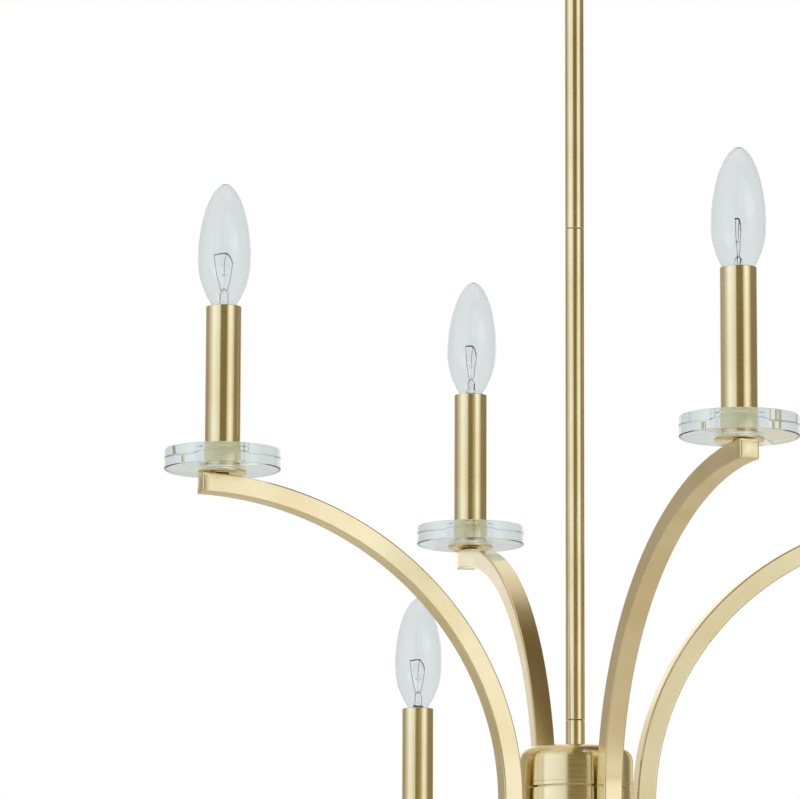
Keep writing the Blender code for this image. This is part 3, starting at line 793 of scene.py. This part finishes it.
def socketMeshes(low):
    # The moulded body, its screw shell and the threaded tube that clamps the light to the arm
    top, radius, bore = -socket["drop"], socket["radius"], socket["bore"]
    foot, ledge, step = top - socket["height"], top - socket["depth"], socket["step"]
    collar, hole = top - socket["collar"], socket["wireHole"]
    body = lathe("socketBody", softened([
        (bore, top, socket["boreEdge"]), (radius, top, socket["rimEdge"]), (radius, collar, 0),
        (radius - step, collar - step, 0), (radius - step, foot, socket["footEdge"]),
        (hole, foot, 0), (hole, ledge, 0), (bore, ledge, socket["rimEdge"]),
    ], 4, closed=True), 64)
    outside, shellTop = bore - socket["shellGap"], top - socket["shellDrop"]
    inside, shellLow = outside - socket["shell"], ledge + socket["shellRise"]
    shell = lathe("socketShell", softened([
        (inside, shellTop, 0), (outside, shellTop, 0), (outside, shellLow, 0), (inside, shellLow, 0),
    ]), 64)
    tube = threaded("nippleTube", candle["nipple"], candle["nippleThread"], candle["nipplePitch"],
                    low, foot + candle["nippleOverlap"])
    return body, shell, tube


# Lamps: a torpedo envelope on a small screw base

lamp = {
    "height": mm(74.1), "radius": mm(16.2), "widest": mm(28.5), "neck": mm(7.65), "wall": mm(0.55),
    "base": mm(5.95), "baseTop": mm(-4), "baseFoot": mm(-18.6), "pitch": mm(2.54),
    "wire": mm(0.17), "wireSides": 6, "wireSteps": 5, "coil": mm(0.42), "coilTurns": 46, "coilSteps": 8,
    "coilWire": mm(0.09), "coilSides": 4, "spineSteps": 60, "seatGap": mm(0.3), "screwDepth": mm(0.55),
    "blunt": 1.12, "waist": 2.2, "tipSteps": 26, "waistSteps": 14, "usualLean": 0.4,
    # Outlines in millimetres as (radius, height, fillet). The insulator and the contact are measured from
    # the foot of the screw base, and the glass stem from the neck
    "insulator": [(0, 0, 0), (5.35, 0, 0.3), (3.2, -1.8, 0.5), (0, -1.8, 0)],
    "contact": [(0, -1.7, 0), (2.4, -1.7, 0.3), (1.4, -2.8, 0.8), (0, -2.9, 0)],
    "stemOutline": [
        (0, -3.4, 0), (4.6, -3.4, 0.4), (2.8, 1, 2), (2.8, 6.5, 1), (1.6, 8.5, 0.8), (0.45, 9.7, 0.6),
        (0.45, 16.9, 0.6), (2.1, 17.9, 0.6), (1.2, 18.9, 0.6), (0, 19.1, 0),
    ],
    # The two leads and the support wire, and the line of the filament's coil, as (x, height)
    "leads": [
        [(-1.7, 2), (-1.9, 8.5), (-3.2, 13), (-4.9, 20), (-6.3, 30.2)],
        [(1.7, 2), (1.9, 8.5), (3.0, 13), (4.1, 19), (4.9, 25)],
        [(0, 18.5), (-0.1, 24), (0.9, 31.2)],
    ],
    "spine": [(-6.3, 30.2), (-2.6, 31.0), (0.9, 31.3), (3.4, 28.9), (4.9, 25)],
}
# How far each lamp is screwed round, in degrees, from the way that shows its wires broad on
lampTurns = {
    "upper_left": 8, "upper_front": 72, "upper_back": 52, "upper_right": 30,
    "lower_back": 28, "lower_left": -35, "lower_front": 12, "lower_right": 64,
}

# How far each lamp is screwed out beyond the first turn of its seat, in millimetres
lampSeats = {"upper_left": 1.8, "upper_front": -2.3, "upper_back": 1.8, "lower_back": 2.7}
# How far each lamp leans to the right in its socket, in degrees
lampLeans = {"upper_left": 0.2, "upper_front": 0.6, "upper_back": 1.4, "lower_back": 0.3}


def envelope(inset):
    # Tip to neck. Over the widest level it draws in to a blunt point, and under it to the neck.
    points, steps, waistSteps = [], lamp["tipSteps"], lamp["waistSteps"]
    for i in range(steps + 1):
        turn = math.pi / 2 * i / steps
        radius = (lamp["radius"] - inset) * math.sin(turn) ** lamp["blunt"]
        points.append((radius, lamp["widest"] + (lamp["height"] - inset - lamp["widest"]) * math.cos(turn)))
    for i in range(1, waistSteps + 1):
        share = i / waistSteps
        fall = 1 - (1 - (lamp["neck"] - inset) / (lamp["radius"] - inset)) * share ** lamp["waist"]
        points.append(((lamp["radius"] - inset) * fall, lamp["widest"] * (1 - share)))
    points.append((lamp["base"] - inset + lamp["seatGap"], lamp["baseTop"]))
    return points


def lampOutline(name, level):
    return softened([(mm(x), level + mm(z), mm(fillet)) for x, z, fillet in lamp[name]])


def lampMeshes():
    outer, inner = envelope(0.0), envelope(lamp["wall"])
    glass = lathe("envelope", outer + inner[::-1], 96, closed=False, sharp=60)
    screw = threaded("screwShell", lamp["base"], lamp["screwDepth"], lamp["pitch"], lamp["baseFoot"],
                     lamp["baseTop"], 48, 12)
    insulator = lathe("insulator", lampOutline("insulator", lamp["baseFoot"]), 48, closed=False)
    contact = lathe("contact", lampOutline("contact", lamp["baseFoot"]), 32, closed=False)
    glassStem = lathe("glassStem", lampOutline("stemOutline", 0), 40, closed=False, sharp=60)
    return glass, screw, insulator, contact, glassStem, wireMesh()


def wireMesh():
    # Two leads, a support wire and the coiled filament between the lead tips, all in the XZ plane
    shape = bmesh.new()
    for lead in lamp["leads"]:
        path = curvePoints([Vector((mm(x), 0, mm(z))) for x, z in lead], lamp["wireSteps"])
        sweptTube(shape, path, lamp["wire"], lamp["wireSides"])
    spine = curvePoints([Vector((mm(x), 0, mm(z))) for x, z in lamp["spine"]], lamp["spineSteps"])
    coil, steps = [], lamp["coilSteps"]
    count = lamp["coilTurns"] * steps
    for i in range(count):
        s = i / (count - 1) * (len(spine) - 1)
        low = min(int(s), len(spine) - 2)
        point = spine[low].lerp(spine[low + 1], s - low)
        ahead = (spine[low + 1] - spine[low]).normalized()
        side = ahead.cross(Vector((0, 1, 0)))
        turn = 2 * math.pi * i / steps
        coil.append(point + (side * math.cos(turn) + Vector((0, math.sin(turn), 0))) * lamp["coil"])
    sweptTube(shape, coil, lamp["coilWire"], lamp["coilSides"])
    return finishMesh(shape, "filament", 60)


def curvePoints(knots, steps):
    # A smooth line through the knots (Catmull-Rom)
    ends = [knots[0] * 2 - knots[1], *knots, knots[-1] * 2 - knots[-2]]
    points = []
    for a, b, c, d in zip(ends, ends[1:], ends[2:], ends[3:]):
        for i in range(steps):
            s = i / steps
            points.append(
                (b * 2 + (c - a) * s + (a * 2 - b * 5 + c * 4 - d) * s ** 2
                 + (b * 3 - a - c * 3 + d) * s ** 3) * 0.5
            )
    return points + [knots[-1]]


def buildLights(tier, hubTop):
    sample = tier + "_front_"
    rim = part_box(sample + "sleeve")[1].z
    cup = cupMesh(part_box(sample + "cup")[0].z + candle["cupNeckHeight"] - rim)
    disc = discMesh(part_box(sample + "glass_disc")[0].z - rim)
    sleeve = sleeveMesh(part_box(sample + "sleeve")[0].z - rim)
    socketBody, socketShell, nippleTube = socketMeshes(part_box(sample + "socket")[0].z - rim)
    glass, screw, insulator, contact, glassStem, wires = lampMeshes()
    stub = stubMesh()
    arms = armMesh(tier + "Arm", arm["reach"][tier])
    for side in ("front", "right", "back", "left"):
        light = f"{tier}_{side}"
        low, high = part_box(light + "_sleeve")
        here = Matrix.Translation(((low.x + high.x) / 2, (low.y + high.y) / 2, high.z))
        atHub = armPlace(light, hubTop)
        atStub = armPlace(light, hubTop - arm["stubDrop"])
        lean = Matrix.Rotation(math.radians(lampLeans.get(light, lamp["usualLean"])), 4, "Y")
        turn = Matrix.Rotation(math.radians(lampTurns[light]), 4, "Z")
        seat = here @ Matrix.Translation((0, 0, mm(lampSeats.get(light, 0)))) @ lean @ turn
        lampBody = light + "_bulb"
        pieces = [
            ("Arm", arms, brassDrawn, "fixture", "brushed_brass", atHub, ["_arm"]),
            ("ArmStub", stub, brassTurned, "fixture", "brushed_brass", atStub, []),
            ("Cup", cup, brassTurned, "fixture", "brushed_brass", here, ["_cup"]),
            ("Disc", disc, discGlass, "fixture", "crystal_glass", here, ["_glass_disc"]),
            ("Sleeve", sleeve, brassTurned, "fixture", "brushed_brass", here, ["_sleeve"]),
            ("SocketBody", socketBody, plain["mouldedPhenolic"], "fixture", "black_resin", here,
             ["_socket"]),
            ("SocketShell", socketShell, plain["nickelPlatedShell"], "fixture", "brushed_brass", here, []),
            ("NippleTube", nippleTube, plain["zincPlatedSteel"], "fixture", "plated_steel", here, []),
            ("Envelope", glass, bulbGlass, lampBody, "bulb_glass", seat, ["_bulb"]),
            ("ScrewShell", screw, plain["nickelPlatedShell"], lampBody, "plated_steel", seat, []),
            ("Insulator", insulator, plain["pressedVitrite"], lampBody, "black_resin", seat, []),
            ("Contact", contact, plain["tinSolder"], lampBody, "plated_steel", seat, []),
            ("GlassStem", glassStem, bulbGlass, lampBody, "bulb_glass", seat, []),
            ("Filament", wires, plain["drawnTungsten"], lampBody, "plated_steel", seat, []),
        ]
        for part, mesh, material, body, slotName, place, stands in pieces:
            title = tier + side.title() + part
            addPiece(title, mesh, material, body, place, [light + s for s in stands])


buildCanopy()
buildCollar()
buildCrossbar()
buildSwivel()
buildRod("upperRod", "rod_upper")
buildRod("lowerRod", "rod_lower")
print("ceiling fitting and stem made")
buildUpperHub()
buildLowerHub()
buildColumn()
buildFinial()
print("hubs made")
buildLights("upper", hubTopOf("upper_hub_cap"))
buildLights("lower", hubTopOf("lower_hub"))
print("eight candle lights made")


# Studio

studio = {
    "floorDrop": 0.75, "floorSize": 60,
    # Wall round the room by bearing, as a share of a full turn from straight behind the chandelier
    "wall": [
        (0.000, "FFFFFF"), (0.075, "FFFFFF"), (0.100, "A8A196"), (0.192, "8F8578"), (0.269, "C3C4BC"),
        (0.331, "F2F8FF"), (0.388, "E8EEF4"), (0.446, "D6DAD6"), (0.462, "72663C"), (0.566, "72663C"),
        (0.588, "CFCFC6"), (0.630, "FFFFFF"), (0.670, "E8E8DE"), (0.720, "85795C"), (0.880, "7D766A"),
        (0.925, "FFFFFF"), (1.000, "FFFFFF"),
    ],
    "wallStrength": 1.2,
    # The same round above head height
    "upper": [
        (0.000, "E8E4DA"), (0.150, "B5AB97"), (0.300, "CFC9B4"), (0.470, "BDB59B"), (0.490, "75694A"),
        (0.560, "6A5C40"), (0.600, "655740"), (0.750, "5F5139"), (0.900, "857A64"), (1.000, "E8E4DA"),
    ],
    "upperFrom": 0.30, "upperTo": 0.55,
    # What rays that leave the glass see, and how much of it
    "throughGlass": "E5EAEC", "throughShare": 0.92,
    # Size, place, aim and power. None shows in the brass
    "softboxes": {
        "topSoftbox": ((2.4, 2.4), (0.4, -0.6, 2.6), (0, 0, -0.6), 20),
        "farFloorSoftbox": ((16, 10), (8, -10, 4), (8, -10, 0), 520),
    },
}


def buildWorld():
    world = bpy.data.worlds.new("studioWalls")
    bpy.context.scene.world = world
    world.use_nodes = True
    tree = world.node_tree
    tree.nodes.clear()
    coordinates = addNode(tree, "ShaderNodeTexCoord")
    parts = addNode(tree, "ShaderNodeSeparateXYZ", {}, {"Vector": coordinates.outputs["Generated"]})
    flipped = addNode(tree, "ShaderNodeMath", {"operation": "MULTIPLY", 1: -1.0}, {0: parts.outputs["Y"]})
    bearing = addNode(
        tree, "ShaderNodeMath", {"operation": "ARCTAN2"}, {0: parts.outputs["X"], 1: flipped.outputs[0]}
    )
    share = addNode(
        tree, "ShaderNodeMapRange",
        {"From Min": -math.pi, "From Max": math.pi, "To Min": 0.0, "To Max": 1.0},
        {"Value": bearing.outputs[0]},
    )
    wall = addNode(tree, "ShaderNodeValToRGB", {"stops": studio["wall"]}, {"Fac": share.outputs["Result"]})
    upper = addNode(
        tree, "ShaderNodeValToRGB", {"stops": studio["upper"]}, {"Fac": share.outputs["Result"]}
    )
    height = addNode(
        tree, "ShaderNodeMapRange",
        {"From Min": studio["upperFrom"], "From Max": studio["upperTo"],
         "interpolation_type": "SMOOTHSTEP"},
        {"Value": parts.outputs["Z"]},
    )
    room = addNode(
        tree, "ShaderNodeMix", {"data_type": "RGBA"},
        {0: height.outputs["Result"], 6: wall.outputs["Color"], 7: upper.outputs["Color"]},
    )
    lit = addNode(
        tree, "ShaderNodeBackground", {"Strength": studio["wallStrength"]}, {"Color": room.outputs[2]}
    )
    white = addNode(tree, "ShaderNodeBackground", {"Color": (1, 1, 1, 1), "Strength": 1.0})
    path = addNode(tree, "ShaderNodeLightPath")
    bent = addNode(
        tree, "ShaderNodeMath", {"operation": "MULTIPLY", 1: studio["throughShare"]},
        {0: path.outputs["Is Transmission Ray"]},
    )
    pale = addNode(
        tree, "ShaderNodeBackground", {"Color": hexColour(studio["throughGlass"]), "Strength": 1.0}
    )
    behind = addNode(
        tree, "ShaderNodeMixShader", {}, {0: bent.outputs[0], 1: lit.outputs[0], 2: pale.outputs[0]}
    )
    seen = addNode(
        tree, "ShaderNodeMixShader", {},
        {0: path.outputs["Is Camera Ray"], 1: behind.outputs[0], 2: white.outputs[0]},
    )
    addNode(tree, "ShaderNodeOutputWorld", {}, {"Surface": seen.outputs[0]})


def addSoftbox(name, size, place, aim, power):
    light = bpy.data.lights.new(name, "AREA")
    light.shape, light.size, light.size_y, light.energy = "RECTANGLE", size[0], size[1], power
    lampObject = bpy.data.objects.new(name, light)
    bpy.context.scene.collection.objects.link(lampObject)
    lampObject.location = place
    lampObject.rotation_euler = (Vector(aim) - Vector(place)).to_track_quat("-Z", "Y").to_euler()
    lampObject.visible_camera = lampObject.visible_glossy = False


def buildFloor():
    shape = bmesh.new()
    bmesh.ops.create_grid(shape, x_segments=2, y_segments=2, size=studio["floorSize"])
    mesh = bpy.data.meshes.new("studioFloor")
    shape.to_mesh(mesh)
    shape.free()
    mesh.materials.append(plain["rolledEmulsion"])
    floor = bpy.data.objects.new("studioFloor", mesh)
    bpy.context.scene.collection.objects.link(floor)
    floor.location.z = cadBox[0][2] - studio["floorDrop"]
    floor.visible_transmission = False


camera = {"place": (0.0125, -3.2986, -1.0646), "left": 2.088, "up": 9.816, "roll": 0.227, "lens": 244.5}


def buildCamera():
    data = bpy.data.cameras.new("studioCamera")
    data.lens, data.sensor_width = camera["lens"], 36
    data.clip_start, data.clip_end = 0.1, 200
    view = bpy.data.objects.new("studioCamera", data)
    bpy.context.scene.collection.objects.link(view)
    turn = Matrix.Rotation(math.radians(camera["left"]), 4, "Z")
    tilt = Matrix.Rotation(math.radians(90 + camera["up"]), 4, "X")
    roll = Matrix.Rotation(math.radians(camera["roll"]), 4, "Z")
    view.matrix_world = Matrix.Translation(camera["place"]) @ turn @ tilt @ roll
    bpy.context.scene.camera = view


buildWorld()
buildFloor()
buildCamera()
for softboxName, softbox in studio["softboxes"].items():
    addSoftbox(softboxName, *softbox)
bpy.context.scene.view_settings.view_transform = "Standard"
print("studio made")
